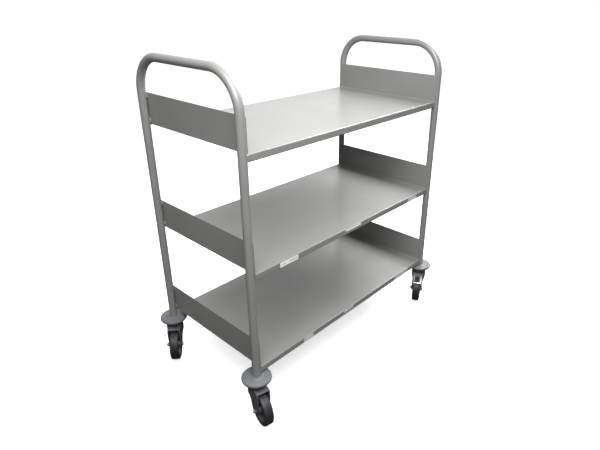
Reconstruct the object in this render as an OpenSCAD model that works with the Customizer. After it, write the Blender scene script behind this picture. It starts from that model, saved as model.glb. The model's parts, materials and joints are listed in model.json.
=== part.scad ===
// Book cart: two bent-tube end frames, three folded sheet shelves, four swivel casters.
// Origin on the floor, midway between the four legs. X runs along the cart, -Y is its front.

/* [Frame] */
// Distance between the leg centres along the cart
frame_length = 944.4; // [700:0.1:1200]
// Distance between the front and rear leg centres
frame_depth = 465; // [380:0.1:600]
// Outside diameter of the frame tube
tube_d = 25.4; // [22:0.1:32]
// Wall of the frame tube
tube_wall = 1.6; // [1.2:0.1:2.5]
// Centreline radius of the two top bends
bend_r = 108; // [60:1:150]
// Straight tube between the top end panel and the bends
bend_start = 2; // [0:0.5:60]

/* [Shelves] */
// Height of the top deck above the middle one
bay_upper = 354.5; // [250:0.5:450]
// Height of the middle deck above the bottom one
bay_lower = 333.5; // [250:0.5:450]
// Gap between a bumper's collar and the bottom shelf's lip
lip_gap = 2.5; // [1:0.1:40]
// Sheet thickness of a shelf
sheet = 1.2; // [0.8:0.1:2]
// Inside radius of the folds
fold_r = 2; // [1:0.1:4]
// Height of an end panel above its deck
panel_h = 97; // [60:0.5:140]
// Depth of the turned-down front lip
lip_h = 21.9; // [18:0.1:40]
// Width of the return flange under the front lip
return_w = 12; // [8:0.5:20]
// Straight part of the shallow turned-down rear edge
rear_hem = 1.5; // [1:0.1:20]
// How far the front lip stands out past the front legs' centreline
front_out = 5.8; // [2:0.1:12]
// How far the rear edge stands out past the rear legs' centreline
rear_out = 1.8; // [1:0.1:12]

/* [Labels] */
// Height of a label strip
label_h = 16; // [8:0.5:16]
// Height of a narrow label strip
narrow_label_h = 8; // [4:0.5:8]
// Thickness of a label strip
label_t = 0.3; // [0.2:0.05:0.5]

/* [Welds] */
// Radius of a weld bead
weld_r = 3.4; // [2.5:0.1:4]
// Length of a weld bead between its round ends
weld_len = 9; // [4:0.5:20]

/* [Bumpers] */
// Outside diameter of a bumper disc
bumper_d = 95.2; // [80:0.2:130]
// Radius of the disc's round rim
bumper_rim_r = 6.5; // [3:0.1:7]
// Thickness of the disc's seat under the leg
bumper_seat = 10; // [8:0.5:14]
// Height of the collar that holds the leg's foot
bumper_collar = 10.8; // [8:0.1:16]

/* [Casters] */
// Wheel diameter
wheel_d = 110; // [90:1:140]
// Tread width
tread_w = 30; // [22:0.5:38]
// Distance from the kingpin to the wheel axle
trail = 30; // [22:0.5:40]
// Thickness of the tyre on its hub
tyre_t = 14; // [10:0.5:20]
// Radius on the tyre's edges
tread_edge_r = 5; // [2:0.1:6]
// Gap between the tyre and each of the fork's cheeks
tyre_gap = 4; // [2:0.5:6]
// Sheet thickness of the fork
fork_sheet = 3; // [2:0.1:4]
// Diameter of the fork's round raceway
raceway_d = 60; // [58:0.5:76]
// Clear height between the tyre and the crown
crown_gap = 16; // [14:0.5:30]
// Diameter of the stem and kingpin
stem_d = 12; // [10:0.1:14]
// Length of the stem above the bumper
stem_len = 38; // [30:0.5:60]
// Diameter of the axle bolt
axle_d = 8; // [6:0.1:10]
// Outside diameter of the axle sleeve
sleeve_d = 12; // [11:0.1:14]
// Wall of the wheel bush
bush_wall = 2; // [1.5:0.1:3]
// Ball diameter in the swivel race
ball_d = 5.6; // [4.8:0.1:6]
// Direction in which the front left wheel trails, from +X
trail_front_left = -105; // [-180:1:180]
// Direction in which the front right wheel trails
trail_front_right = -154; // [-180:1:180]
// Direction in which the rear left wheel trails
trail_rear_left = -130; // [-180:1:180]
// Direction in which the rear right wheel trails
trail_rear_right = 58; // [-180:1:180]

/* [Brakes] */
// Plate thickness of the brake pedal
pedal_t = 2.5; // [2:0.1:3]
// Gap between the pedal and each cheek
pedal_gap = 0.8; // [0.4:0.1:3]
// Reach of the pedal from its pin
pedal_len = 33; // [28:0.5:36]
// Slope of the released pedal
pedal_slope = 34; // [28:0.5:34]
// Diameter of the pedal's pin
pin_d = 6; // [4:0.1:7]

/* [Fits] */
// Radial clearance of a running fit
run_fit = 0.05; // [0.01:0.01:0.1]
// Gap between faces that move past each other
move_gap = 0.3; // [0.2:0.05:1]
// Radial clearance of parts that slide together and stay put
seat_fit = 0.2; // [0.1:0.05:0.4]

/* [Hidden] */
$fn = 64;
eps = 0.01;

leg_x = frame_length / 2;
leg_y = frame_depth / 2;
tube_r = tube_d / 2;
bore_r = tube_r - tube_wall;
fold_ro = fold_r + sheet;
tray_x = leg_x - tube_r;
front_y = -leg_y - front_out;
rear_y = leg_y + rear_out;

// Heights from the floor up, through a caster and on up the frame.
axle_z = wheel_d / 2;
crown_z = wheel_d + crown_gap + fork_sheet;
groove = 0.6;
ball_z = crown_z - groove + ball_d / 2;
cap_z = ball_z + ball_d / 2 + move_gap;
cap_t = 3.5;
flange_z = cap_z + cap_t;
flange_t = 8;
flange_r = 15;
bumper_z = flange_z + flange_t;
socket_z = bumper_z + bumper_seat;
socket_flange = 2;
socket_cap = 6;
leg_foot_z = socket_z + socket_flange;
collar_z = socket_z + bumper_collar;
deck_bottom_z = collar_z + lip_gap + lip_h;
deck_middle_z = deck_bottom_z + bay_lower;
deck_top_z = deck_middle_z + bay_upper;
handle_z = deck_top_z + panel_h + bend_start + bend_r;
stem_r = stem_d / 2;
king_nut_h = 8;
king_nut_r = 10.5;
thread_end = 1.5;
ball_ring_r = 20;
ball_count = 18;
ball_fit = 0.02;

hub_r = axle_z - tyre_t;
fork_gap = tread_w + 2 * tyre_gap;
fork_y = fork_gap / 2;
cheek_y = fork_y + fork_sheet;
boss_w = fork_gap - 2;
crown_front = raceway_d / 2;
crown_rear = trail + 12;
cheek_rear = crown_rear + 4;
cheek_boss_r = 11;
skirt_drop = 22;
cone_drop = 32;
bolt_head_h = 4;
bolt_tail = 3;
bolt_hex_d = 15;
axle_nut_h = 8;
pin_inset = 9;
pin_x = trail + pin_inset;
pin_z = crown_z - fork_sheet - pin_inset;
pedal_w = fork_gap - 2 * pedal_gap;
barrel_r = pin_d / 2 + 2;
pin_head = 1;

// Each corner's leg signs in x and y, and its wheel's trail direction.
FRONT_LEFT = [-1, -1, trail_front_left];
FRONT_RIGHT = [1, -1, trail_front_right];
REAR_LEFT = [-1, 1, trail_rear_left];
REAR_RIGHT = [1, 1, trail_rear_right];
CORNERS = [FRONT_LEFT, FRONT_RIGHT, REAR_LEFT, REAR_RIGHT];

STEEL_GREY = [0.55, 0.55, 0.53];
DARK_GREY = [0.24, 0.25, 0.27];
RUBBER_GREY = [0.52, 0.53, 0.56];
BLACK = [0.12, 0.12, 0.13];
ZINC = [0.8, 0.8, 0.82];

module at_leg(c) {
    translate([c[0] * leg_x, c[1] * leg_y, 0]) children();
}

// Local frame of a caster: X is the trail direction, Y the axle's direction.
module at_caster(c) {
    at_leg(c) rotate([0, 0, c[2]]) children();
}

// Local frame of a wheel: Z is the axle, the origin its centre.
module at_axle(c) {
    at_caster(c) translate([trail, 0, axle_z]) rotate([-90, 0, 0]) children();
}

module ring(ro, ri, h) {
    difference() {
        cylinder(r = ro, h = h);
        translate([0, 0, -eps]) cylinder(r = ri, h = h + 2 * eps);
    }
}

// ---- end frames ----

// Solid bar of radius r along the inverted U, its legs reaching down to z = foot.
module hoop_bar(r, foot) {
    top_y = leg_y - bend_r;
    for (s = [-1, 1]) {
        translate([0, s * leg_y, foot]) cylinder(r = r, h = handle_z - bend_r - foot);
    }
    translate([0, top_y, handle_z - bend_r]) rotate([90, 0, 90])
        rotate_extrude(angle = 90) translate([bend_r, 0]) circle(r = r);
    mirror([0, 1, 0]) translate([0, top_y, handle_z - bend_r]) rotate([90, 0, 90])
        rotate_extrude(angle = 90) translate([bend_r, 0]) circle(r = r);
    translate([0, top_y, handle_z]) rotate([90, 0, 0]) cylinder(r = r, h = 2 * top_y);
}

module end_frame(side) {
    color(STEEL_GREY) translate([side * leg_x, 0, 0]) difference() {
        hoop_bar(tube_r, leg_foot_z);
        hoop_bar(bore_r, leg_foot_z - eps);
    }
}

// ---- shelves ----

// Quarter of a folded corner, its centre at the origin, in the quadrant signed by qx and qy.
module fold_corner(qx, qy) {
    intersection() {
        difference() {
            circle(r = fold_ro);
            circle(r = fold_r);
        }
        translate([qx < 0 ? -fold_ro - 1 : 0, qy < 0 ? -fold_ro - 1 : 0]) square(fold_ro + 1);
    }
}

// Deck and its two upturned ends, in x and z, deck surface at 0.
module deck_profile() {
    flat_x = tray_x - fold_ro;
    translate([-flat_x, -sheet]) square([2 * flat_x, sheet]);
    for (s = [-1, 1]) {
        translate([s * flat_x, fold_r]) fold_corner(s, -1);
        translate([s > 0 ? tray_x - sheet : -tray_x, fold_r]) square([sheet, panel_h - fold_r]);
    }
}

// Edge turned down from the deck, in y and z, its outer face at y = 0, inside towards +y.
module edge_profile(straight) {
    translate([fold_ro, -fold_ro]) fold_corner(-1, 1);
    translate([0, -fold_ro - straight]) square([sheet, straight]);
}

// Return flange along the lip's lower edge, in the same plane.
module return_profile() {
    translate([fold_ro, -lip_h + fold_ro]) fold_corner(-1, -1);
    translate([fold_ro, -lip_h]) square([return_w - fold_ro, sheet]);
}

module edge_bar(straight, returned) {
    rotate([90, 0, 90]) translate([0, 0, -tray_x + fold_ro]) linear_extrude(2 * (tray_x - fold_ro)) {
        edge_profile(straight);
        if (returned) return_profile();
    }
    translate([-tray_x, 0, -fold_ro - straight]) cube([2 * tray_x, sheet, straight]);
}

module shelf(z) {
    color(STEEL_GREY) translate([0, 0, z]) {
        translate([0, rear_y - fold_ro, 0]) rotate([90, 0, 0])
            linear_extrude(rear_y - front_y - 2 * fold_ro) deck_profile();
        for (s = [-1, 1]) {
            translate([s > 0 ? tray_x - sheet : -tray_x, front_y, fold_r])
                cube([sheet, rear_y - front_y, panel_h - fold_r]);
        }
        translate([0, front_y, 0]) edge_bar(lip_h - 2 * fold_ro, true);
        translate([0, rear_y, 0]) mirror([0, 1, 0]) edge_bar(rear_hem, false);
    }
}

// ---- welds and labels ----

// One bead in the groove between a leg and the outer face of an end panel.
module weld_bead() {
    groove_y = 7.2;
    bead_lift = 0.8;
    cut = 4 * (weld_len + weld_r);
    difference() {
        translate([-tube_r + bead_lift, groove_y, 0]) {
            cylinder(r = weld_r, h = weld_len, center = true);
            for (s = [-1, 1]) {
                translate([0, 0, s * weld_len / 2]) sphere(r = weld_r);
            }
        }
        cylinder(r = tube_r, h = cut, center = true);
        translate([-tube_r - cut, -cut / 2, -cut / 2]) cube(cut);
    }
}

module weld_beads() {
    end_space = 2;
    edge = weld_len / 2 + weld_r + end_space;
    color(STEEL_GREY) for (c = CORNERS, z = [deck_top_z, deck_middle_z, deck_bottom_z]) {
        for (h = [edge + fold_r, panel_h - edge]) {
            translate([c[0] * leg_x, c[1] * leg_y, z + h])
                scale_sign(c[0], -c[1]) weld_bead();
        }
    }
}

// Mirrors its children so that local +X points towards side sx and local +Y towards side sy.
module scale_sign(sx, sy) {
    mirror([sx < 0 ? 1 : 0, 0, 0]) mirror([0, sy < 0 ? 1 : 0, 0]) children();
}

// Each label's end of the shelf (-1, 1, or 0 for the middle), the distance of its centre from
// there, its width and its height.
MIDDLE_LABELS = [[-1, 135.5, 76, label_h], [0, -16, 82, narrow_label_h], [1, 107.5, 58, label_h]];
BOTTOM_LABELS = [[-1, 217.5, 46, label_h], [0, -28, 54, narrow_label_h], [1, 141.5, 97, label_h]];

function label_x(l) = l[0] == 0 ? l[1] : l[0] * (tray_x - l[1]);

module label_row(labels, z) {
    for (l = labels) {
        translate([label_x(l) - l[2] / 2, front_y - label_t, z - (lip_h - label_h) / 2 - l[3]])
            cube([l[2], label_t, l[3]]);
    }
}

module label_strips() {
    color("white") {
        label_row(MIDDLE_LABELS, deck_middle_z);
        label_row(BOTTOM_LABELS, deck_bottom_z);
    }
}

// ---- leg feet ----

module stem_sockets() {
    color(ZINC) for (c = CORNERS) {
        at_leg(c) translate([0, 0, socket_z]) difference() {
            union() {
                cylinder(r = tube_r, h = socket_flange);
                cylinder(r = bore_r - run_fit, h = stem_len + socket_cap);
            }
            translate([0, 0, -eps]) cylinder(r = stem_r + run_fit, h = stem_len + 1);
        }
    }
}

module bumper(c) {
    rim_x = bumper_d / 2 - bumper_rim_r;
    rim_top = 8.3;
    rim_z = bumper_seat + rim_top - bumper_rim_r;
    foot_r = 20;
    top_z = bumper_seat + bumper_collar;
    collar_r = tube_r + 6;
    collar_slope = 5;
    color(RUBBER_GREY) at_leg(c) translate([0, 0, bumper_z]) rotate_extrude() {
        translate([rim_x, rim_z]) circle(r = bumper_rim_r);
        polygon([
            [stem_r + seat_fit, 0], [foot_r, 0], [rim_x, rim_z - bumper_rim_r],
            [rim_x, rim_z + bumper_rim_r], [collar_r + collar_slope, top_z - 2.3], [collar_r, top_z],
            [tube_r + seat_fit, top_z], [tube_r + seat_fit, bumper_seat], [stem_r + seat_fit, bumper_seat]
        ]);
    }
}

// ---- caster, the part that stays with the leg ----

module stem(c) {
    foot_z = crown_z - fork_sheet - king_nut_h - thread_end;
    color(ZINC) at_leg(c) {
        translate([0, 0, flange_z]) cylinder(r = flange_r, h = flange_t);
        translate([0, 0, foot_z]) cylinder(r = stem_r, h = socket_z + stem_len - foot_z);
    }
}

module race_cap(c) {
    cap_r = raceway_d / 2 - 2;
    cap_wall = 2;
    cap_lift = 1.5;
    color(DARK_GREY) at_leg(c) rotate_extrude() {
        translate([stem_r, cap_z]) square([cap_r - stem_r, cap_t]);
        translate([cap_r - cap_wall, crown_z + cap_lift]) square([cap_wall, cap_z - crown_z]);
    }
}

module kingpin_nuts() {
    color(ZINC) for (c = CORNERS) {
        at_leg(c) translate([0, 0, crown_z - fork_sheet - king_nut_h - move_gap]) difference() {
            cylinder(r = king_nut_r, h = king_nut_h, $fn = 6);
            translate([0, 0, -eps]) cylinder(r = stem_r, h = king_nut_h + 2 * eps);
        }
    }
}

// ---- caster, the part that swivels ----

module ball_ring(c) {
    color(ZINC) at_caster(c) for (i = [0 : ball_count - 1]) {
        rotate([0, 0, i * 360 / ball_count]) translate([ball_ring_r, 0, ball_z]) sphere(r = ball_d / 2);
    }
}

// Cheek outline in the caster's x and z.
module cheek_side() {
    lip_z = crown_z - 17;
    shoulder = [-crown_front + 14, crown_z - 30];
    waist = [-crown_front + 22, crown_z - 52];
    rear_z = crown_z - 29;
    corner = 6;
    polygon([
        [-crown_front, crown_z], [-crown_front, lip_z], shoulder, waist,
        [trail - cheek_boss_r * 0.9, axle_z - cheek_boss_r * 0.42],
        [trail + cheek_boss_r * 0.98, axle_z - cheek_boss_r * 0.2],
        [cheek_rear, rear_z], [cheek_rear, crown_z - corner], [crown_rear, crown_z]
    ]);
    translate([trail, axle_z]) circle(r = cheek_boss_r);
}

// Round skirt under the raceway, narrowing to the straight cheeks.
module skirt(inset) {
    translate([0, 0, crown_z - skirt_drop - inset]) cylinder(r = raceway_d / 2 - inset, h = skirt_drop);
    translate([0, 0, crown_z - skirt_drop - cone_drop - inset])
        cylinder(r1 = cheek_y - inset, r2 = raceway_d / 2 - inset, h = cone_drop);
}

module fork_shell(inset) {
    translate([-crown_front, -cheek_y + inset, 0])
        cube([crown_front + cheek_rear + 1, 2 * (cheek_y - inset), crown_z - inset]);
    skirt(inset);
}

module fork(c, braked) {
    color(DARK_GREY) at_caster(c) difference() {
        intersection() {
            difference() {
                fork_shell(0);
                translate([-eps, 0, 0]) fork_shell(fork_sheet);
                translate([-crown_front - 1, -fork_y, -1])
                    cube([crown_front + cheek_rear + 3, 2 * fork_y, crown_z - fork_sheet + 1]);
            }
            translate([0, raceway_d, 0]) rotate([90, 0, 0]) linear_extrude(2 * raceway_d) cheek_side();
        }
        translate([0, 0, crown_z - fork_sheet - 1]) cylinder(r = stem_r + run_fit, h = fork_sheet + 2);
        translate([0, 0, ball_z]) rotate_extrude() translate([ball_ring_r, 0])
            circle(r = ball_d / 2 + ball_fit);
        translate([trail, raceway_d, axle_z]) rotate([90, 0, 0])
            cylinder(r = axle_d / 2 + run_fit, h = 2 * raceway_d);
        if (braked) {
            translate([pin_x, raceway_d, pin_z]) rotate([90, 0, 0])
                cylinder(r = pin_d / 2, h = 2 * raceway_d);
        }
    }
}

module axle_sleeve(c) {
    color(ZINC) at_axle(c) translate([0, 0, -fork_y])
        ring(sleeve_d / 2, axle_d / 2 + run_fit, fork_gap);
}

module axle_bolt(c) {
    color(ZINC) at_axle(c) {
        translate([0, 0, -cheek_y - axle_nut_h - bolt_tail])
            cylinder(r = axle_d / 2, h = 2 * cheek_y + axle_nut_h + bolt_tail + 1);
        translate([0, 0, cheek_y]) cylinder(r = bolt_hex_d / 2, h = bolt_head_h, $fn = 6);
    }
}

module axle_nut(c) {
    color(ZINC) at_axle(c) translate([0, 0, -cheek_y - axle_nut_h]) difference() {
        cylinder(r = bolt_hex_d / 2, h = axle_nut_h, $fn = 6);
        translate([0, 0, -eps]) cylinder(r = axle_d / 2, h = axle_nut_h + 2 * eps);
    }
}

// ---- wheel ----

module wheel_bush(c) {
    color("black") at_axle(c) translate([0, 0, -boss_w / 2])
        ring(sleeve_d / 2 + run_fit + bush_wall, sleeve_d / 2 + run_fit, boss_w);
}

module hub(c) {
    bush_r = sleeve_d / 2 + run_fit + bush_wall;
    boss_t = 6;
    web_t = 8;
    rim_t = 5;
    rim_w = tread_w - 4;
    color(BLACK) at_axle(c) rotate_extrude() {
        translate([bush_r, -boss_w / 2]) square([boss_t, boss_w]);
        translate([bush_r, -web_t / 2]) square([hub_r - bush_r, web_t]);
        translate([hub_r - rim_t, -rim_w / 2]) square([rim_t, rim_w]);
    }
}

module tyre(c) {
    half_w = tread_w / 2;
    color(BLACK) at_axle(c) rotate_extrude() {
        translate([hub_r, -half_w]) square([axle_z - hub_r - tread_edge_r, tread_w]);
        translate([hub_r, -half_w + tread_edge_r])
            square([axle_z - hub_r, tread_w - 2 * tread_edge_r]);
        for (s = [-1, 1]) {
            translate([axle_z - tread_edge_r, s * (half_w - tread_edge_r)]) circle(r = tread_edge_r);
        }
    }
}

// ---- brakes ----

module at_pin(c) {
    at_caster(c) translate([pin_x, 0, pin_z]) rotate([-90, 0, 0]) children();
}

module brake_pedal(c) {
    side_bar = 8.2;
    toe_bar = 4.5;
    window_w = pedal_w - 2 * side_bar;
    window_start = -barrel_r - 1;
    window_end = pedal_len - toe_bar;
    toe_r = 2.6;
    color(ZINC) at_pin(c) difference() {
        rotate([0, 0, pedal_slope]) union() {
            translate([0, 0, -pedal_w / 2]) cylinder(r = barrel_r, h = pedal_w);
            translate([0, -barrel_r, -pedal_w / 2]) cube([pedal_len, pedal_t, pedal_w]);
            translate([pedal_len, -barrel_r + pedal_t - toe_r, -pedal_w / 2])
                cylinder(r = toe_r, h = pedal_w);
        }
        translate([0, 0, -pedal_w / 2 - 1]) cylinder(r = pin_d / 2 + run_fit, h = pedal_w + 2);
        rotate([0, 0, pedal_slope]) translate([window_start, -barrel_r - 1, -window_w / 2])
            cube([window_end - window_start, 2 * barrel_r + 2, window_w]);
    }
}

module brake_pin(c) {
    color(DARK_GREY) at_pin(c) translate([0, 0, -cheek_y - pin_head])
        cylinder(r = pin_d / 2, h = 2 * (cheek_y + pin_head));
}

end_frame(-1);  // end_frame_left
end_frame(1);  // end_frame_right
shelf(deck_top_z);  // shelf_top
shelf(deck_middle_z);  // shelf_middle
shelf(deck_bottom_z);  // shelf_bottom
weld_beads();
label_strips();
stem_sockets();
kingpin_nuts();
bumper(FRONT_LEFT);  // bumper_front_left
bumper(FRONT_RIGHT);  // bumper_front_right
bumper(REAR_LEFT);  // bumper_rear_left
bumper(REAR_RIGHT);  // bumper_rear_right
stem(FRONT_LEFT);  // stem_front_left
stem(FRONT_RIGHT);  // stem_front_right
stem(REAR_LEFT);  // stem_rear_left
stem(REAR_RIGHT);  // stem_rear_right
race_cap(FRONT_LEFT);  // race_cap_front_left
race_cap(FRONT_RIGHT);  // race_cap_front_right
race_cap(REAR_LEFT);  // race_cap_rear_left
race_cap(REAR_RIGHT);  // race_cap_rear_right
ball_ring(FRONT_LEFT);  // ball_ring_front_left
ball_ring(FRONT_RIGHT);  // ball_ring_front_right
ball_ring(REAR_LEFT);  // ball_ring_rear_left
ball_ring(REAR_RIGHT);  // ball_ring_rear_right
fork(FRONT_LEFT, false);  // fork_front_left
fork(FRONT_RIGHT, true);  // fork_front_right
fork(REAR_LEFT, false);  // fork_rear_left
fork(REAR_RIGHT, true);  // fork_rear_right
axle_sleeve(FRONT_LEFT);  // axle_sleeve_front_left
axle_sleeve(FRONT_RIGHT);  // axle_sleeve_front_right
axle_sleeve(REAR_LEFT);  // axle_sleeve_rear_left
axle_sleeve(REAR_RIGHT);  // axle_sleeve_rear_right
axle_bolt(FRONT_LEFT);  // axle_bolt_front_left
axle_bolt(FRONT_RIGHT);  // axle_bolt_front_right
axle_bolt(REAR_LEFT);  // axle_bolt_rear_left
axle_bolt(REAR_RIGHT);  // axle_bolt_rear_right
axle_nut(FRONT_LEFT);  // axle_nut_front_left
axle_nut(FRONT_RIGHT);  // axle_nut_front_right
axle_nut(REAR_LEFT);  // axle_nut_rear_left
axle_nut(REAR_RIGHT);  // axle_nut_rear_right
wheel_bush(FRONT_LEFT);  // wheel_bush_front_left
wheel_bush(FRONT_RIGHT);  // wheel_bush_front_right
wheel_bush(REAR_LEFT);  // wheel_bush_rear_left
wheel_bush(REAR_RIGHT);  // wheel_bush_rear_right
hub(FRONT_LEFT);  // hub_front_left
hub(FRONT_RIGHT);  // hub_front_right
hub(REAR_LEFT);  // hub_rear_left
hub(REAR_RIGHT);  // hub_rear_right
tyre(FRONT_LEFT);  // tyre_front_left
tyre(FRONT_RIGHT);  // tyre_front_right
tyre(REAR_LEFT);  // tyre_rear_left
tyre(REAR_RIGHT);  // tyre_rear_right
brake_pedal(FRONT_RIGHT);  // brake_pedal_front_right
brake_pedal(REAR_RIGHT);  // brake_pedal_rear_right
brake_pin(FRONT_RIGHT);  // brake_pin_front_right
brake_pin(REAR_RIGHT);  // brake_pin_rear_right
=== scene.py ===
# %% [markdown]
# # A book cart in Blender
# A book cart is three folded steel shelves welded between two bent-tube end frames, on four
# swivel casters with a round rubber bumper over each. The sizes and joints come from a CAD model,
# which is loaded here as a fixed frame. This lesson gives each of its pieces a finish, and builds
# again, in finer detail, the pieces that a plain CAD solid shows too simply.

import json
import math

import bmesh
import bpy
from mathutils import Matrix, Vector


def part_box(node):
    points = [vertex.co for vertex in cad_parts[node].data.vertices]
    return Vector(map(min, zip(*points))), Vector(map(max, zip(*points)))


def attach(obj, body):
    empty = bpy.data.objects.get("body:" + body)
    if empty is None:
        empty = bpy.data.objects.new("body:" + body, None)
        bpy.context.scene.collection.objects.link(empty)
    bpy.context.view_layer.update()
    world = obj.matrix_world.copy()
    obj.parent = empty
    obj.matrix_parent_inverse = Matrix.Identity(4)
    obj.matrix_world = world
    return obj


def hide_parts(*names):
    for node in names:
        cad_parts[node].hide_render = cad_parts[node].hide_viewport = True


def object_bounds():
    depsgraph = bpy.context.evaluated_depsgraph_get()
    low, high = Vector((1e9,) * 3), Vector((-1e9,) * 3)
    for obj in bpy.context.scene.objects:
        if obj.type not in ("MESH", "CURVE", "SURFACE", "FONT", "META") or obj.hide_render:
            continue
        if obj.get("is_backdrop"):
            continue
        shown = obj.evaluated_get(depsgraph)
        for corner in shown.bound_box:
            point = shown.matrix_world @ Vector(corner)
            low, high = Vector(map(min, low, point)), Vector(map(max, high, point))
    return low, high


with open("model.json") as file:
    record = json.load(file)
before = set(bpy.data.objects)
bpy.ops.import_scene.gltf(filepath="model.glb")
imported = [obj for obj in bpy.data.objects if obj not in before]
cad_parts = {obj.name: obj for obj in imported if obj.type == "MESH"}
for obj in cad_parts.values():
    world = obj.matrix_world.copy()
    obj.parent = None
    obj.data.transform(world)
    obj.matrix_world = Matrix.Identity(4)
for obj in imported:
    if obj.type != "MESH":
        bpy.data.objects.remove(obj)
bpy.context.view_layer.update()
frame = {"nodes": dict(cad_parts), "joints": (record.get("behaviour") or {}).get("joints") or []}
nodes = frame["nodes"]

# %% [markdown]
# ## Where the casters stand
# Every caster is the same, but each is parked at its own angle. The joints in the record say where
# each kingpin and axle is. From them come two frames for each corner: one at the leg, with the world's
# axes, and one with X the way the wheel trails and Z along the axle, which suits turned pieces.

# %% Corner frames
CORNERS = ("front_left", "front_right", "rear_left", "rear_right")
BRAKED = ("front_right", "rear_right")
joints = {joint["name"]: joint for joint in frame["joints"]}
UP = Vector((0, 0, 1))


def axes_at(place, x, y, z):
    """Matrix of a local frame with these axes, at a place."""
    return Matrix.Translation(place) @ Matrix((x, y, z)).transposed().to_4x4()


leg_at, axle_at = {}, {}
for corner in CORNERS:
    kingpin = Vector(joints["swivel_" + corner]["pos_m"])
    axle = Vector(joints["roll_" + corner]["axis"])
    trail = axle.cross(UP)
    leg_at[corner] = Matrix.Translation((kingpin.x, kingpin.y, 0))
    axle_at[corner] = axes_at(joints["roll_" + corner]["pos_m"], trail, -UP, axle)
    print(corner, "trails towards", round(math.degrees(math.atan2(trail.y, trail.x))), "degrees")

# %% [markdown]
# ## Small helpers for node trees
# Materials and geometry trees are both made of nodes. One helper adds a node, sets its options
# and fills its sockets, either with a value or with a link from another node's output.


# %% Node helpers
def put(tree, kind, sockets=None, **options):
    """Adds a node. sockets maps a socket's name or number to a value or to an output to link."""
    node = tree.nodes.new(kind)
    for name, value in options.items():
        setattr(node, name, value)
    for key, value in (sockets or {}).items():
        if isinstance(value, bpy.types.NodeSocket):
            tree.links.new(value, node.inputs[key])
        else:
            node.inputs[key].default_value = value
    return node


def calc(tree, operation, a, b=0.0, clamp=False):
    """One Math node's result."""
    return put(tree, "ShaderNodeMath", {0: a, 1: b}, operation=operation, use_clamp=clamp).outputs[0]


def remap(tree, value, low, high, to_low=0.0, to_high=1.0):
    """value, moved from low..high to to_low..to_high and clamped."""
    sockets = {0: value, 1: low, 2: high, 3: to_low, 4: to_high}
    return put(tree, "ShaderNodeMapRange", sockets).outputs[0]


def blend_colours(tree, mask, a, b):
    """Colour a where mask is 0 and b where it is 1."""
    return put(tree, "ShaderNodeMix", {0: mask, 6: a, 7: b}, data_type="RGBA").outputs[2]


def blend_values(tree, mask, a, b):
    """Value a where mask is 0 and b where it is 1."""
    return put(tree, "ShaderNodeMix", {0: mask, 2: a, 3: b}, data_type="FLOAT").outputs[0]


# %% [markdown]
# ## Effects that several finishes share
# Paint, rubber, zinc and paper all have a fine grain, get rubbed by hands, books and
# furniture, and gather dust on what faces up. Each effect is a shader group with its own inputs,
# built once. A group gives only masks and heights, and every material decides what they change.


# %% Effect groups
def effect_group(name, inputs, outputs):
    """An empty shader group with float or vector inputs and float outputs."""
    tree = bpy.data.node_groups.new(name, "ShaderNodeTree")
    for label, value in inputs.items():
        kind = "NodeSocketVector" if isinstance(value, tuple) else "NodeSocketFloat"
        socket = tree.interface.new_socket(label, in_out="INPUT", socket_type=kind)
        socket.default_value = value
    for label in outputs:
        tree.interface.new_socket(label, in_out="OUTPUT", socket_type="NodeSocketFloat")
    return tree, tree.nodes.new("NodeGroupInput").outputs, tree.nodes.new("NodeGroupOutput").inputs


def noise(tree, where, scale, detail=2.0, distortion=0.0):
    """A noise pattern's value, around 0.5."""
    sockets = {"Vector": where, "Scale": scale, "Detail": detail, "Distortion": distortion}
    return put(tree, "ShaderNodeTexNoise", sockets).outputs[0]


def make_grain_group():
    """Fine relief of a finish, and the slow mottling of its colour."""
    tree, given, result = effect_group(
        "surface_grain", {"Scale": 500.0, "Fine Share": 0.3, "Mottle Scale": 7.0}, ("Height", "Mottle")
    )
    fine_to_coarse = 3.7
    where = put(tree, "ShaderNodeTexCoord").outputs["Object"]
    coarse = noise(tree, where, given["Scale"], 1.0)
    fine = noise(tree, where, calc(tree, "MULTIPLY", given["Scale"], fine_to_coarse), 2.0)
    height = blend_values(tree, given["Fine Share"], coarse, fine)
    mottle = remap(tree, noise(tree, where, given["Mottle Scale"], 4.0, 0.4), 0.3, 0.7)
    tree.links.new(height, result["Height"])
    tree.links.new(mottle, result["Mottle"])
    return tree


def make_rub_group():
    """Patches where a finish was rubbed, broken up by fine scratches along one direction."""
    tree, given, result = effect_group(
        "rub_marks", {"Scale": 9.0, "Cover": 0.1, "Stretch": (1.0, 1.0, 1.0)}, ("Mask",)
    )
    where = put(tree, "ShaderNodeTexCoord").outputs["Object"]
    stretched = put(
        tree, "ShaderNodeVectorMath", {0: where, 1: given["Stretch"]}, operation="MULTIPLY"
    ).outputs[0]
    top_edge, cover_share, contrast, scratch_scale = 0.78, 0.5, 9.0, 160.0
    edge = calc(tree, "SUBTRACT", top_edge, calc(tree, "MULTIPLY", given["Cover"], cover_share))
    patches = calc(tree, "SUBTRACT", noise(tree, where, given["Scale"], 5.0, 0.6), edge)
    patches = calc(tree, "MULTIPLY", patches, contrast, clamp=True)
    scratches = remap(tree, noise(tree, stretched, scratch_scale, 3.0, 0.2), 0.48, 0.66)
    tree.links.new(calc(tree, "MULTIPLY", patches, scratches, clamp=True), result["Mask"])
    return tree


def make_dust_group():
    """Dust that settles on what faces up."""
    tree, given, result = effect_group("settled_dust", {"Amount": 0.2, "Scale": 30.0}, ("Mask",))
    place = put(tree, "ShaderNodeTexCoord").outputs
    facing = put(tree, "ShaderNodeSeparateXYZ", {0: place["Normal"]}).outputs["Z"]
    facing = remap(tree, facing, 0.1, 0.95)
    clumps = remap(tree, noise(tree, place["Object"], given["Scale"], 5.0, 0.3), 0.35, 0.75)
    amount = calc(tree, "MULTIPLY", given["Amount"], facing)
    tree.links.new(calc(tree, "MULTIPLY", amount, clumps, clamp=True), result["Mask"])
    return tree


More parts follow.
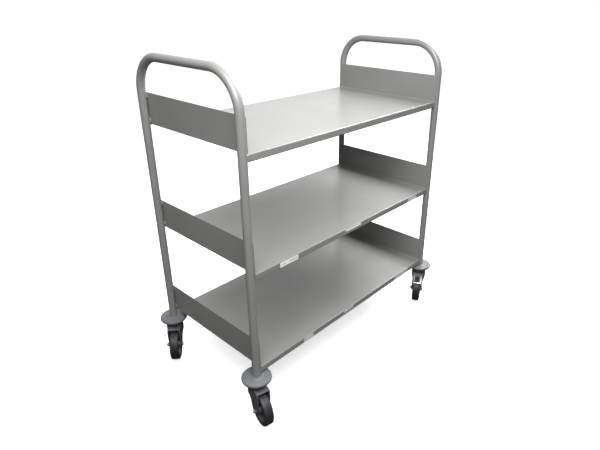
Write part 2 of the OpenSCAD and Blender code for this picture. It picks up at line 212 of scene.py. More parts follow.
grain_group, rub_group, dust_group = make_grain_group(), make_rub_group(), make_dust_group()
print("effect groups:", [tree.name for tree in (grain_group, rub_group, dust_group)])

# %% [markdown]
# ## Finishes
# All the finishes are opaque and differ in colour, gloss and how they wear, so one maker takes
# those as numbers. The colour drifts between two shades with the mottling. Rubbed patches and
# dust then lie over it, and change the roughness with the colour. The relief goes to a Bump node.


# %% Finish maker
DUST_COLOUR, DUST_ROUGHNESS = (0.42, 0.41, 0.39), 0.85


def use_effect(tree, group, **values):
    """Places an effect group in a material with its own values."""
    node = tree.nodes.new("ShaderNodeGroup")
    node.node_tree = group
    for name, value in values.items():
        node.inputs[name.replace("_", " ").title()].default_value = value
    return node.outputs


def make_finish(name, light, dark, roughness, grain, rub, rubbed, dust=0.1, metallic=0.0, **fixed):
    """roughness is (least, most); grain (scale, fine share, relief in m, mottle scale);
    rub (scale, cover, stretch); rubbed (colour, roughness, strength)."""
    material = bpy.data.materials.new(name)
    material.use_nodes = True
    tree = material.node_tree
    shader = tree.nodes["Principled BSDF"]
    skin = use_effect(tree, grain_group, scale=grain[0], fine_share=grain[1], mottle_scale=grain[3])
    rubs = use_effect(tree, rub_group, scale=rub[0], cover=rub[1], stretch=rub[2])["Mask"]
    rubs = calc(tree, "MULTIPLY", rubs, rubbed[2], clamp=True)
    settled = use_effect(tree, dust_group, amount=dust)["Mask"]
    colour = blend_colours(tree, skin["Mottle"], (*light, 1), (*dark, 1))
    colour = blend_colours(tree, rubs, colour, (*rubbed[0], 1))
    colour = blend_colours(tree, settled, colour, (*DUST_COLOUR, 1))
    gloss = blend_values(tree, skin["Mottle"], roughness[0], roughness[1])
    gloss = blend_values(tree, rubs, gloss, rubbed[1])
    gloss = blend_values(tree, settled, gloss, DUST_ROUGHNESS)
    bump = put(tree, "ShaderNodeBump", {"Height": skin["Height"], "Distance": grain[2]})
    tree.links.new(colour, shader.inputs["Base Color"])
    tree.links.new(gloss, shader.inputs["Roughness"])
    tree.links.new(bump.outputs[0], shader.inputs["Normal"])
    shader.inputs["Metallic"].default_value = metallic
    for socket, value in fixed.items():
        shader.inputs[socket.replace("_", " ")].default_value = value
    return material


# %% [markdown]
# The paint is a warm grey powder coat with a semi-gloss skin and a slight orange peel. The
# casters are pressed steel in a darker, bluer grey. The pedals are bright zinc and the axle
# hardware a duller one, the bumpers are a matt grey rubber, and the tyres a nearly black one.

# %% Finishes of the cart
paint = make_finish(
    "grey_powder_coat", (0.213, 0.215, 0.208), (0.193, 0.195, 0.188), (0.285, 0.33),
    grain=(420.0, 0.25, 0.00002, 5.0), rub=(7.0, 0.08, (4.0, 1.0, 1.0)),
    rubbed=((0.25, 0.25, 0.24), 0.4, 0.25), dust=0.03, IOR=1.6,
)
caster_paint = make_finish(
    "caster_grey_paint", (0.075, 0.08, 0.09), (0.055, 0.06, 0.068), (0.32, 0.42),
    grain=(700.0, 0.3, 0.00002, 40.0), rub=(60.0, 0.25, (1.0, 1.0, 3.0)),
    rubbed=((0.3, 0.3, 0.3), 0.4, 0.7), dust=0.35,
)
zinc = make_finish(
    "bright_zinc", (0.72, 0.73, 0.75), (0.6, 0.61, 0.62), (0.2, 0.32),
    grain=(1500.0, 0.5, 0.00001, 120.0), rub=(90.0, 0.2, (1.0, 1.0, 4.0)),
    rubbed=((0.35, 0.34, 0.32), 0.55, 0.7), dust=0.1, metallic=1.0,
)
dull_zinc = make_finish(
    "dull_zinc", (0.34, 0.345, 0.35), (0.26, 0.265, 0.27), (0.35, 0.5),
    grain=(1500.0, 0.5, 0.00001, 120.0), rub=(90.0, 0.2, (1.0, 1.0, 4.0)),
    rubbed=((0.2, 0.2, 0.19), 0.6, 0.7), dust=0.2, metallic=1.0,
)
bumper_rubber = make_finish(
    "grey_bumper_rubber", (0.125, 0.13, 0.142), (0.105, 0.11, 0.12), (0.42, 0.55),
    grain=(900.0, 0.5, 0.00003, 30.0), rub=(45.0, 0.3, (1.0, 1.0, 1.0)),
    rubbed=((0.22, 0.22, 0.23), 0.7, 0.6), dust=0.15,
)
tyre_rubber = make_finish(
    "dark_tyre_rubber", (0.022, 0.023, 0.029), (0.014, 0.015, 0.02), (0.4, 0.5),
    grain=(1100.0, 0.5, 0.00004, 50.0), rub=(70.0, 0.35, (1.0, 1.0, 1.0)),
    rubbed=((0.08, 0.08, 0.085), 0.7, 0.7), dust=0.12, Specular_IOR_Level=0.3,
)
hub_plastic = make_finish(
    "moulded_hub_plastic", (0.06, 0.06, 0.065), (0.045, 0.045, 0.05), (0.35, 0.5),
    grain=(1000.0, 0.5, 0.00002, 60.0), rub=(80.0, 0.2, (1.0, 1.0, 1.0)),
    rubbed=((0.15, 0.15, 0.15), 0.6, 0.6), dust=0.2,
)
print("finishes:", len(bpy.data.materials))

# %% [markdown]
# ## Running a geometry tree
# A geometry tree is run as a modifier on a small holder mesh, such as the corner points of a
# path. Its inputs are set by their identifiers, the result is copied out as a plain mesh, and
# the modifier is taken off, so that what remains is an ordinary piece.


# %% Geometry tree helpers
def geometry_tree(name, **inputs):
    """An empty geometry tree with float, whole-number or material inputs, and its two ends."""
    tree = bpy.data.node_groups.new(name, "GeometryNodeTree")
    kinds = {float: "NodeSocketFloat", int: "NodeSocketInt", type(None): "NodeSocketMaterial"}
    tree.interface.new_socket("Geometry", in_out="INPUT", socket_type="NodeSocketGeometry")
    for label, value in inputs.items():
        title = label.replace("_", " ").title()
        socket = tree.interface.new_socket(title, in_out="INPUT", socket_type=kinds[type(value)])
        if value is not None:
            socket.default_value = value
    tree.interface.new_socket("Geometry", in_out="OUTPUT", socket_type="NodeSocketGeometry")
    return tree, tree.nodes.new("NodeGroupInput").outputs, tree.nodes.new("NodeGroupOutput").inputs


def close_tree(tree, geometry, material, result):
    """Ends a tree: smooth shading, real geometry and its material."""
    smooth = put(tree, "GeometryNodeSetShadeSmooth", {"Geometry": geometry}).outputs[0]
    real = put(tree, "GeometryNodeRealizeInstances", {"Geometry": smooth}).outputs[0]
    painted = put(tree, "GeometryNodeSetMaterial", {"Geometry": real, "Material": material})
    tree.links.new(painted.outputs[0], result["Geometry"])


def holder_of(name, points, edges):
    """An object with only points and edges, for a tree to work on."""
    mesh = bpy.data.meshes.new(name)
    mesh.from_pydata(points, edges, [])
    piece = bpy.data.objects.new(name, mesh)
    bpy.context.scene.collection.objects.link(piece)
    return piece


def run_tree(piece, tree, **values):
    """Runs the tree on piece, which keeps only the resulting plain mesh."""
    modifier = piece.modifiers.new("tree", "NODES")
    modifier.node_group = tree
    for item in tree.interface.items_tree:
        key = item.name.lower().replace(" ", "_")
        if item.in_out == "INPUT" and key in values:
            modifier[item.identifier] = values[key]
    return settle(piece)


def settle(piece):
    """Turns a piece's modifiers into its plain mesh."""
    bpy.context.view_layer.update()
    seen = piece.evaluated_get(bpy.context.evaluated_depsgraph_get())
    mesh = bpy.data.meshes.new_from_object(seen)
    piece.modifiers.clear()
    piece.data = mesh
    mesh.name = piece.name
    return piece


# %% [markdown]
# ## End frames
# Each end frame is one steel tube bent into an upside-down U. Its shape follows a rule, a
# centreline with two rounded corners and a round section, so a geometry tree is the natural way:
# four corner points, a Fillet Curve for the bends, and a circle swept along the result. The bend
# radius and tube size stay inputs that can be changed.


# %% End frames
BEND_RADIUS = 0.108


def make_tube_tree():
    """A round tube along a line of points, with its corners bent."""
    tree, given, result = geometry_tree(
        "bent_tube", bend_radius=BEND_RADIUS, tube_radius=0.0127, sides=48, bend_steps=20, finish=None
    )
    line = put(tree, "GeometryNodeMeshToCurve", {"Mesh": given["Geometry"]}).outputs[0]
    sockets = {"Curve": line, "Count": given["Bend Steps"], "Radius": given["Bend Radius"]}
    bent = put(tree, "GeometryNodeFilletCurve", sockets, mode="POLY").outputs[0]
    sockets = {"Resolution": given["Sides"], "Radius": given["Tube Radius"]}
    section = put(tree, "GeometryNodeCurvePrimitiveCircle", sockets).outputs[0]
    sockets = {"Curve": bent, "Profile Curve": section, "Fill Caps": True}
    tube = put(tree, "GeometryNodeCurveToMesh", sockets).outputs[0]
    close_tree(tree, tube, given["Finish"], result)
    return tree


tube_tree = make_tube_tree()
for side in ("left", "right"):
    low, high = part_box("end_frame_" + side)
    tube_radius = (high.x - low.x) / 2
    x, top = low.x + tube_radius, high.z - tube_radius
    front, rear = low.y + tube_radius, high.y - tube_radius
    path = [(x, front, low.z), (x, front, top), (x, rear, top), (x, rear, low.z)]
    tube = holder_of("bent_tube_" + side, path, [(0, 1), (1, 2), (2, 3)])
    run_tree(tube, tube_tree, bend_radius=BEND_RADIUS, tube_radius=tube_radius, finish=paint)
    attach(tube, "cart")
    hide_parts("end_frame_" + side)
    print(tube.name, round(tube_radius * 2000, 1), "mm thick,", len(tube.data.polygons), "faces")

# %% [markdown]
# ## Weld beads
# A short bead joins each corner of every end panel to a leg. A bead follows a line and has a
# rippled skin, so it is a tree as well: each line is resampled, and a circle is swept along it
# at a scale that rises and falls with the ripples and closes at both ends. Some noise keeps the
# beads from looking alike.


# %% Weld beads
TRAYS = ("shelf_top", "shelf_middle", "shelf_bottom")
PANEL_HEIGHT, BEAD_LENGTH = 0.097, 0.0155
ABOVE_DECK, BELOW_PANEL_TOP = 0.0055, 0.0175
SUNK_IN_TUBE, INBOARD = 0.0008, 0.0072


def make_bead_tree():
    """A rippled bead along each line, closed at both ends."""
    stations, end_sharpness, unevenness_scale = 56, 5.0, 120.0
    tree, given, result = geometry_tree(
        "weld_bead", bead_radius=0.0034, ripple=0.0016, depth=0.13, seed=3.0, finish=None
    )
    line = put(tree, "GeometryNodeMeshToCurve", {"Mesh": given["Geometry"]}).outputs[0]
    line = put(tree, "GeometryNodeResampleCurve", {"Curve": line, "Count": stations}).outputs[0]
    along = put(tree, "GeometryNodeSplineParameter").outputs
    phase = calc(tree, "MULTIPLY", calc(tree, "DIVIDE", along["Length"], given["Ripple"]), math.pi)
    hump = calc(tree, "ABSOLUTE", calc(tree, "SINE", phase))
    ripples = calc(tree, "SUBTRACT", 1.0, calc(tree, "MULTIPLY", hump, given["Depth"]))
    centred = calc(tree, "SUBTRACT", calc(tree, "MULTIPLY", along["Factor"], 2.0), 1.0)
    taper = calc(tree, "POWER", calc(tree, "ABSOLUTE", centred), end_sharpness)
    taper = calc(tree, "SQRT", calc(tree, "SUBTRACT", 1.0, taper, clamp=True))
    where = put(tree, "GeometryNodeInputPosition").outputs[0]
    sockets = {"Vector": where, "W": given["Seed"], "Scale": unevenness_scale}
    uneven = put(tree, "ShaderNodeTexNoise", sockets, noise_dimensions="4D").outputs[0]
    uneven = remap(tree, uneven, 0.3, 0.7, 0.86, 1.0)
    size = calc(tree, "MULTIPLY", calc(tree, "MULTIPLY", ripples, taper), uneven)
    sockets = {"Resolution": 16, "Radius": given["Bead Radius"]}
    section = put(tree, "GeometryNodeCurvePrimitiveCircle", sockets).outputs[0]
    sockets = {"Curve": line, "Profile Curve": section, "Scale": size, "Fill Caps": True}
    bead = put(tree, "GeometryNodeCurveToMesh", sockets).outputs[0]
    close_tree(tree, bead, given["Finish"], result)
    return tree


leg = leg_at["front_right"].translation
bead_x, bead_y = abs(leg.x) - tube_radius + SUNK_IN_TUBE, abs(leg.y) - INBOARD
points, edges = [], []
for deck in TRAYS:
    panel_low, panel_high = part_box(deck)
    deck_z = panel_high.z - PANEL_HEIGHT
    print(deck, "reaches", round((deck_z - panel_low.z) * 1000, 1), "mm below its deck")
    for foot in (deck_z + ABOVE_DECK, panel_high.z - BELOW_PANEL_TOP):
        for sx in (-1, 1):
            for sy in (-1, 1):
                x, y = sx * bead_x, sy * bead_y
                edges.append((len(points), len(points) + 1))
                points += [(x, y, foot), (x, y, foot + BEAD_LENGTH)]
beads = holder_of("rippled_weld_beads", points, edges)
run_tree(beads, make_bead_tree(), finish=paint)
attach(beads, "cart")
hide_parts("weld_beads")
low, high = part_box("weld_beads")
print("weld beads:", len(edges), "from", round(low.z, 4), "to", round(high.z, 4), "m up")

# %% [markdown]
# ## Shelves
# The folded trays keep their CAD shape, with its small fold radii, and only take the paint.


# %% Shelves
def finish_nodes(material, *names):
    """Gives CAD nodes a material."""
    for name in names:
        slots = nodes[name].data.materials
        slots.clear()
        slots.append(material)


finish_nodes(paint, *TRAYS)
print("painted trays:", len(TRAYS))

# %% [markdown]
# ## Labels
# Six labels are stuck to the front lips of the two lower shelves, two of them narrow. They are
# thin stock with rounded corners. One carries two plain grey bars, and the oldest are mottled
# where they have been rubbed. None has any lettering.

# %% Label stock
label_paper = make_finish(
    "white_label_paper", (0.82, 0.82, 0.8), (0.74, 0.74, 0.72), (0.45, 0.6),
    grain=(1400.0, 0.5, 0.00001, 70.0), rub=(180.0, 0.2, (1.0, 1.0, 1.0)),
    rubbed=((0.4, 0.4, 0.39), 0.6, 0.6), dust=0.0,
)
worn_paper = make_finish(
    "worn_label_paper", (0.66, 0.66, 0.64), (0.34, 0.34, 0.33), (0.45, 0.65),
    grain=(1200.0, 0.5, 0.00002, 160.0), rub=(110.0, 0.9, (1.0, 1.0, 1.0)),
    rubbed=((0.85, 0.85, 0.83), 0.7, 0.9), dust=0.0,
)
ink = make_finish(
    "grey_label_ink", (0.2, 0.2, 0.21), (0.25, 0.25, 0.26), (0.5, 0.6),
    grain=(1400.0, 0.5, 0.000005, 90.0), rub=(200.0, 0.4, (1.0, 1.0, 1.0)),
    rubbed=((0.6, 0.6, 0.6), 0.6, 0.6), dust=0.0,
)
print("finishes:", len(bpy.data.materials))


# %% Labels
def rounded_tag(name, centre_x, centre_z, width, height, face_y, thickness, material, corner=0.0012):
    """A thin upright tag with round corners, its front at face_y."""
    shape = bmesh.new()
    outline = []
    corner_steps = 4
    for sx, sz, start in ((1, 1, 0), (-1, 1, 90), (-1, -1, 180), (1, -1, 270)):
        for step in range(corner_steps + 1):
            turn = math.radians(start + 90 * step / corner_steps)
            x = centre_x + sx * (width / 2 - corner) + corner * math.cos(turn)
            z = centre_z + sz * (height / 2 - corner) + corner * math.sin(turn)
            outline.append(shape.verts.new((x, face_y, z)))
    face = shape.faces.new(outline)
    back = bmesh.ops.extrude_face_region(shape, geom=[face])["geom"]
    moved = [v for v in back if isinstance(v, bmesh.types.BMVert)]
    bmesh.ops.translate(shape, verts=moved, vec=(0, thickness, 0))
    bmesh.ops.recalc_face_normals(shape, faces=shape.faces)
    return piece_from(name, shape, material)


def piece_from(name, shape, material, place=None, smooth=False):
    """Finishes a bmesh as an object at the origin, with its place in its mesh."""
    crease = math.radians(35)
    mesh = bpy.data.meshes.new(name)
    shape.to_mesh(mesh)
    shape.free()
    if place is not None:
        mesh.transform(place)
    if smooth:
        mesh.shade_smooth()
        mesh.set_sharp_from_angle(angle=crease)
    mesh.materials.append(material)
    piece = bpy.data.objects.new(name, mesh)
    bpy.context.scene.collection.objects.link(piece)
    return piece


low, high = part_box("label_strips")
front, stock, print_depth, print_corner = low.y, 0.0003, 0.0001, 0.0005
tall, narrow = 0.016, 0.008
rows = {
    "middle": (high.z, ((-0.324, 0.076, tall), (-0.016, 0.082, narrow), (0.352, 0.058, tall))),
    "bottom": (low.z + tall, ((-0.242, 0.046, tall), (-0.028, 0.054, narrow), (0.318, 0.097, tall))),
}
stocks = {"middle": (label_paper, label_paper, worn_paper), "bottom": (worn_paper,) * 3}
bars = (("_bar", 0.017, 0.034, 0.0026), ("_mark", -0.022, 0.018, 0.0016))
for row, (top, tags) in rows.items():
    for number, (x, width, height) in enumerate(tags):
        name = f"label_{row}_{number + 1}"
        z, face, depth = top - height / 2, front + print_depth, stock - print_depth
        tag = rounded_tag(name, x, z, width, height, face, depth, stocks[row][number])
        parts = [tag]
        if name == "label_middle_1":
            for ending, along, length, tallness in bars:
                place = (x + along, z, length, tallness, front, print_depth)
                parts.append(rounded_tag(name + ending, *place, ink, print_corner))
        for part in parts:
            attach(part, "cart")
        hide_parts("label_strips")
print("labels:", sum(len(tags) for _, tags in rows.values()))

# %% [markdown]
# ## Turned pieces
# Bumpers, bearing caps, hubs and tyres are all round, so each is an outline turned about an
# axis. The outline is a short list of corners, and every corner carries the radius that rounds
# it. Moulded and pressed parts have no sharp corners, and the small radii catch the light.


# %% Turning
def eased(corners, steps=4):
    """A closed outline in mm with each corner (radius, height, fillet) rounded, in metres."""
    outline = []
    for index, (r, z, fillet) in enumerate(corners):
        here = Vector((r, z))
        before = (Vector(corners[index - 1][:2]) - here).normalized()
        after = (Vector(corners[(index + 1) % len(corners)][:2]) - here).normalized()
        if fillet == 0:
            outline.append(here / 1000)
            continue
        half = before.angle(after) / 2
        centre = here + (before + after).normalized() * fillet / math.sin(half)
        start = here + before * fillet / math.tan(half) - centre
        end = here + after * fillet / math.tan(half) - centre
        for step in range(steps + 1):
            arm = start.lerp(end, step / steps).normalized() * fillet
            outline.append((centre + arm) / 1000)
    return outline


def turned(name, corners, material, place, around=72, steps=4):
    """A ring-shaped piece: the closed outline turned round the place's Z axis."""
    outline = eased(corners, steps)
    shape = bmesh.new()
    rings = []
    for step in range(around):
        turn = math.tau * step / around
        c, s = math.cos(turn), math.sin(turn)
        rings.append([shape.verts.new((p.x * c, p.x * s, p.y)) for p in outline])
    for a, b in zip(rings, rings[1:] + rings[:1]):
        for i in range(len(outline)):
            shape.faces.new((a[i], a[i - 1], b[i - 1], b[i]))
    bmesh.ops.recalc_face_normals(shape, faces=shape.faces)
    return piece_from(name, shape, material, place, smooth=True)


def fit(piece, body, slot, *replaced):
    """Puts a finished piece on its body, in place of CAD nodes. The slot argument is not used."""
    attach(piece, body)
    if replaced:
        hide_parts(*replaced)
    return piece


# %% [markdown]
# The bumper is a rubber disc with a round rim and a collar for the leg's foot. The one on the
# cart has a shallow ring moulded in its top, where it is thickest. The bearing cap under it is
# a pressed cup whose skirt covers the balls.

# %% Bumpers and bearing caps
for corner in CORNERS:
    low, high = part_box("bumper_" + corner)
    base = leg_at[corner] @ Matrix.Translation((0, 0, low.z))
    rim = (high.x - low.x) * 1000 / 2
    bumper = turned(
        "bumper_disc_" + corner,
        [
            (6.2, 0, 0.4), (20, 0, 3), (rim - 6.5, 5.3, 1.5), (rim - 1.6, 6.8, 2.5), (rim, 10, 3),
            (rim, 14.2, 3), (rim - 1.8, 17.2, 2.2), (rim - 5.8, 18.3, 0.4), (rim - 6.8, 17.7, 0.4),
            (rim - 8.2, 17.7, 0.4), (rim - 9.1, 18.3, 0.4), (24.5, 18.5, 3), (19.2, 20.8, 1.2),
            (12.9, 20.8, 0.5), (12.9, 10, 0.3), (6.2, 10, 0.3),
        ],
        bumper_rubber, base, around=96,
    )
    fit(bumper, "cart", "bumper_rubber", "bumper_" + corner)
    low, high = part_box("race_cap_" + corner)
    height, plate = (high.z - low.z) * 1000, 3.5
    cap = turned(
        "bearing_cap_" + corner,
        [
            (6, height - plate, 0), (6, height, 0.2), (28, height, 2.6),
            (28, 0, 0.5), (26, 0, 0.5), (26, height - plate, 0.8),
        ],
        caster_paint, leg_at[corner] @ Matrix.Translation((0, 0, low.z)), around=64,
    )
    fit(cap, "cart", "caster_steel", "race_cap_" + corner)
low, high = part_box("bumper_front_left")
print("bumper discs:", round((high.x - low.x) * 1000, 1), "mm")

# %% [markdown]
# ## Forks and pedals
# These are pressed from sheet, and their edges are rolled by the press. Their CAD shape is
# right, so a copy is merged, flat faces are joined again, and a Bevel modifier rounds every
# sharp edge a little.


# %% Pressed steel
def softened(node, name, width, material):
    """A copy of a CAD node with its sharp edges rounded by width, in metres."""
    same_point, flat, sharp, crease = 1e-6, math.radians(0.6), math.radians(40), math.radians(38)
    shape = bmesh.new()
    shape.from_mesh(nodes[node].data)
    bmesh.ops.remove_doubles(shape, verts=shape.verts, dist=same_point)
    bmesh.ops.dissolve_limit(shape, angle_limit=flat, verts=shape.verts, edges=shape.edges)
    piece = piece_from(name, shape, material)
    for attribute in [a.name for a in piece.data.attributes if a.name == "custom_normal"]:
        piece.data.attributes.remove(piece.data.attributes[attribute])
    bevel = piece.modifiers.new("rolled_edges", "BEVEL")
    bevel.width, bevel.segments = width, 2
    bevel.limit_method, bevel.angle_limit = "ANGLE", sharp
    settle(piece)
    piece.data.shade_smooth()
    piece.data.set_sharp_from_angle(angle=crease)
    return piece


for corner in CORNERS:
    fork = softened("fork_" + corner, "pressed_fork_" + corner, 0.0007, caster_paint)
    fit(fork, "caster_" + corner, "caster_steel", "fork_" + corner)
    print(fork.name, len(fork.data.polygons), "faces")
for corner in BRAKED:
    pedal = softened("brake_pedal_" + corner, "pressed_pedal_" + corner, 0.0005, zinc)
    fit(pedal, "brake_" + corner, "zinc", "brake_pedal_" + corner)
    print(pedal.name, len(pedal.data.polygons), "faces")

# %% [markdown]
# ## Wheels
# A soft tyre is moulded on a hard hub. The tread is slightly crowned with a faint parting line
# round its middle, and a shallow groove runs round each side. The hub is a web with a thick boss.

# %% Tyres and hubs
def mirrored(half):
    """A closed outline from its half at negative heights."""
    return half + [(r, -z, fillet) for r, z, fillet in reversed(half)]


TYRE = mirrored([
    (41, -13.4, 0.5), (42.2, -15, 0.9), (45.4, -15, 0.5), (46, -14.2, 0.4), (47.4, -14.2, 0.4),
    (48, -15, 0.5), (54.6, -15, 5), (55, -6, 3), (55, -0.5, 0.1), (54.75, -0.1, 0.1),
])
HUB = mirrored([
    (8.05, -18, 0.3), (14, -18, 1.2), (14.8, -4.5, 2), (33, -4, 2), (36.2, -13, 1), (41, -13, 0.4),
])
for corner in CORNERS:
    tyre = turned("tyre_" + corner + "_moulded", TYRE, tyre_rubber, axle_at[corner], around=96)
    fit(tyre, "wheel_" + corner, "tyre_rubber", "tyre_" + corner)
    hub = turned("hub_" + corner + "_moulded", HUB, hub_plastic, axle_at[corner], around=72)
    fit(hub, "wheel_" + corner, "hub_plastic", "hub_" + corner)
print("tyre faces:", len(tyre.data.polygons), "hub faces:", len(hub.data.polygons))

# %% [markdown]
# ## Axle hardware
# Each axle is a hexagon bolt with a lock nut. A real nut is turned at its corners, so its six
# edges end in arcs, and a lock nut has a round collar at its outer face. The bolt's end shows
# thread, which is a ridge that follows a spiral, and so a tree makes it.


# %% Nuts, bolt heads and threads
ROUND_HEX = 48


def hexagon(name, reach, bottom, top, material, place, collar=0.0):
    """A hexagon between two heights in mm, with its corners turned off at the top."""
    turned_off, shoulder = reach * 0.89, top - 0.1 * (top - bottom)
    turns = [math.tau * index / ROUND_HEX for index in range(ROUND_HEX)]
    rings = []
    for height, furthest in ((bottom, math.inf), (shoulder, math.inf), (top, turned_off)):
        ring = []
        for turn in turns:
            from_flat = (turn % (math.pi / 3)) - math.pi / 6
            r = reach * math.cos(math.pi / 6) / math.cos(from_flat)
            ring.append((min(r, furthest), turn, height))
        rings.append(ring)
    if collar:
        wide, slim = reach * 0.72, reach * 0.6
        for r, rise in ((wide, 0.0), (wide, collar * 0.7), (slim, collar)):
            rings.append([(r, turn, top + rise) for turn in turns])
    shape = bmesh.new()
    loops = []
    for ring in rings:
        spots = [(r * math.cos(a) / 1000, r * math.sin(a) / 1000, h / 1000) for r, a, h in ring]
        loops.append([shape.verts.new(spot) for spot in spots])
    for a, b in zip(loops, loops[1:]):
        for i in range(ROUND_HEX):
            shape.faces.new((a[i - 1], a[i], b[i], b[i - 1]))
    for loop in (loops[0], loops[-1]):
        shape.faces.new(loop)
    bmesh.ops.recalc_face_normals(shape, faces=shape.faces)
    return piece_from(name, shape, material, place, smooth=True)


def make_thread_tree():
    """The ridge of a screw thread, along a spiral."""
    tree, given, result = geometry_tree(
        "bolt_thread", thread_radius=0.0037, pitch=0.00125, turns=2.0, ridge=0.0003, finish=None
    )
    sockets = {
        "Resolution": 32, "Rotations": given["Turns"], "Start Radius": given["Thread Radius"],
        "End Radius": given["Thread Radius"],
        "Height": calc(tree, "MULTIPLY", given["Pitch"], given["Turns"]),
    }
    spiral = put(tree, "GeometryNodeCurveSpiral", sockets).outputs[0]
    sockets = {"Resolution": 6, "Radius": given["Ridge"]}
    ridge = put(tree, "GeometryNodeCurvePrimitiveCircle", sockets).outputs[0]
    sockets = {"Curve": spiral, "Profile Curve": ridge, "Fill Caps": True}
    thread = put(tree, "GeometryNodeCurveToMesh", sockets).outputs[0]
    close_tree(tree, thread, given["Finish"], result)
    return tree


thread_tree = make_thread_tree()
THREAD_START = 0.0301
HEX_REACH, HEAD_FOOT, HEAD_TOP, NUT_TOP, NUT_COLLAR = 7.5, 22, 26, 28.2, 1.8
SHANK = [(0.2, -32.8, 0), (3.2, -32.8, 0.3), (3.7, -32.2, 0.2), (3.7, 22.5, 0), (0.2, 22.5, 0)]
for corner in CORNERS:
    body, place = "caster_" + corner, axle_at[corner]
    shank = turned("axle_shank_" + corner, SHANK, dull_zinc, place, around=32, steps=2)
    fit(shank, body, "zinc", "axle_bolt_" + corner)
    head = hexagon("axle_head_" + corner, HEX_REACH, HEAD_FOOT, HEAD_TOP, dull_zinc, place)
    fit(head, body, "zinc")
    flipped = place @ Matrix.Rotation(math.pi, 4, "X")
    nut = hexagon(
        "lock_nut_" + corner, HEX_REACH, HEAD_FOOT, NUT_TOP, dull_zinc, flipped, collar=NUT_COLLAR
    )
    fit(nut, body, "zinc", "axle_nut_" + corner)
    thread = holder_of("axle_thread_" + corner, [(0, 0, 0)], [])
    run_tree(thread, thread_tree, finish=dull_zinc)
    thread.data.transform(flipped @ Matrix.Translation((0, 0, THREAD_START)))
    fit(thread, body, "zinc")
print("hexagons:", 2 * len(CORNERS), "thread faces:", len(thread.data.polygons))

# %% [markdown]
# ## Pieces that keep their CAD shape
# Stems, balls, sleeves, bushes, pins and the kingpin's nut are simple turned parts, mostly out
# of sight. They take their finish as they are, and the brake pins are painted with the forks.

# %% Remaining hardware
kept = {
    zinc: ["stem_sockets", "kingpin_nuts"],
    hub_plastic: ["wheel_bush_" + corner for corner in CORNERS],
    caster_paint: ["brake_pin_" + corner for corner in BRAKED],
}
for corner in CORNERS:
    kept[zinc] += ["stem_" + corner, "ball_ring_" + corner, "axle_sleeve_" + corner]
for material, names in kept.items():
    finish_nodes(material, *names)
    print(material.name, "on", len(names), "CAD pieces")

# %% [markdown]
# ## Studio
# The cart stands on a plain pale floor under soft light. One wide lamp hangs over its front left
# and another beyond its right end, so that the decks stay light along their whole length. The
# surroundings that the paint reflects are brightest past the right end and lighter above than
# below, as in a room with a light wall on that side. The camera looks down from the front left.
# The floor and the surroundings look paler to the camera than they do to the cart, so that the
# picture stays bright while the floor throws little light up under the decks.


# %% Floor
FLOOR_SHOWN, FLOOR_SENT_BACK = (0.86, 0.86, 0.86, 1), (0.07, 0.07, 0.07, 1)
FLOOR_REACH, FLOOR_GLOW = 60, 0.6


def make_floor():
    """A wide plain floor, pale to the camera only."""
    shape = bmesh.new()
    bmesh.ops.create_grid(shape, x_segments=4, y_segments=4, size=FLOOR_REACH)
    floor_material = bpy.data.materials.new("pale_floor")
    floor_material.use_nodes = True
    tree = floor_material.node_tree
    shader = tree.nodes["Principled BSDF"]
    seen = put(tree, "ShaderNodeLightPath").outputs["Is Camera Ray"]
    tint = blend_colours(tree, seen, FLOOR_SENT_BACK, FLOOR_SHOWN)
    tree.links.new(tint, shader.inputs["Base Color"])
    shader.inputs["Roughness"].default_value = 0.9
    shader.inputs["Specular IOR Level"].default_value = 0.1
    shader.inputs["Emission Color"].default_value = (1, 1, 1, 1)
    tree.links.new(calc(tree, "MULTIPLY", seen, FLOOR_GLOW), shader.inputs["Emission Strength"])
    return piece_from("studio_floor", shape, floor_material)


make_floor()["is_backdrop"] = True
print("floor:", 2 * FLOOR_REACH, "m across")


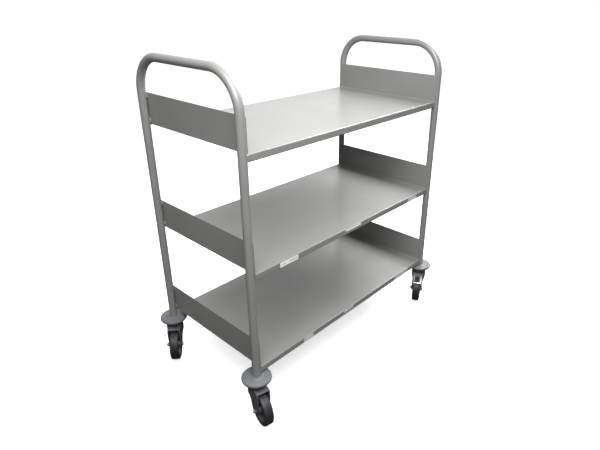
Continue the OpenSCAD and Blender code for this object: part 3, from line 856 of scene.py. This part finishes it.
# %% Surroundings and lamps
def make_surroundings():
    """A bright wall low on one side, and a ceiling that is lighter than the ground."""
    bright_side, wall_strength = (0.94, 0.34, 0.0), 1.3
    ground_strength, ceiling_strength = 0.02, 0.44
    world = bpy.data.worlds.new("studio")
    world.use_nodes = True
    bpy.context.scene.world = world
    tree = world.node_tree
    background = tree.nodes["Background"]
    where = put(tree, "ShaderNodeTexCoord").outputs["Generated"]
    height = put(tree, "ShaderNodeSeparateXYZ", {0: where}).outputs["Z"]
    towards_wall = put(
        tree, "ShaderNodeVectorMath", {0: where, 1: bright_side}, operation="DOT_PRODUCT"
    ).outputs["Value"]
    wall = remap(tree, towards_wall, 0.3, 0.95, 0.0, wall_strength)
    wall = calc(tree, "MULTIPLY", wall, remap(tree, height, 0.0, 0.12))
    ceiling = remap(tree, height, -0.05, 0.8, ground_strength, ceiling_strength)
    strength = calc(tree, "ADD", ceiling, wall)
    seen = put(tree, "ShaderNodeLightPath").outputs["Is Camera Ray"]
    strength = blend_values(tree, seen, strength, 1.0)
    background.inputs["Color"].default_value = (1, 1, 1, 1)
    tree.links.new(strength, background.inputs["Strength"])


def soft_lamp(name, place, target, size, watts):
    """A rectangular lamp that faces its target."""
    lamp = bpy.data.lights.new(name, "AREA")
    lamp.shape, lamp.size, lamp.size_y, lamp.energy = "RECTANGLE", size[0], size[1], watts
    holder = bpy.data.objects.new(name, lamp)
    holder.location = place
    holder.rotation_euler = (Vector(target) - Vector(place)).to_track_quat("-Z", "Y").to_euler()
    bpy.context.scene.collection.objects.link(holder)


make_surroundings()
soft_lamp("overhead_lamp", place=(-0.86, -0.88, 2.12), target=(0, 0, 0.75), size=(1.6, 1.6), watts=75)
soft_lamp("side_lamp", place=(1.8, 0.0, 2.3), target=(0.3, 0, 0.6), size=(1.4, 1.4), watts=92)
print("lamps:", len(bpy.data.lights))


# %% Camera
def make_camera():
    """A camera at the front left, aimed by its yaw, pitch and roll in degrees."""
    place, aim = (-1.2149, -1.179, 1.2556), (41.643, -24.293, 0.533)
    camera = bpy.data.cameras.new("camera")
    camera.sensor_width, camera.lens = 36, 29.377
    camera.shift_x, camera.shift_y = -0.0443, -0.0195
    holder = bpy.data.objects.new("camera", camera)
    yaw, pitch, roll = (math.radians(angle) for angle in aim)
    ahead = Vector((math.cos(pitch) * math.cos(yaw), math.cos(pitch) * math.sin(yaw), math.sin(pitch)))
    right = Vector((math.sin(yaw), -math.cos(yaw), 0))
    above = right.cross(ahead)
    tilted = right * math.cos(roll) + above * math.sin(roll)
    holder.matrix_world = axes_at(place, tilted, tilted.cross(ahead), -ahead)
    bpy.context.scene.collection.objects.link(holder)
    bpy.context.scene.camera = holder
    return camera


studio_camera = make_camera()
bpy.context.scene.view_settings.view_transform = "Standard"
print("camera:", round(studio_camera.lens, 1), "mm lens")

# %% [markdown]
# ## Size of the visual pieces
# The box round the visual pieces is measured and printed.

# %% Size of the visual pieces
low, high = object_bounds()
print("visual box", [round(v, 4) for v in high - low], "m")
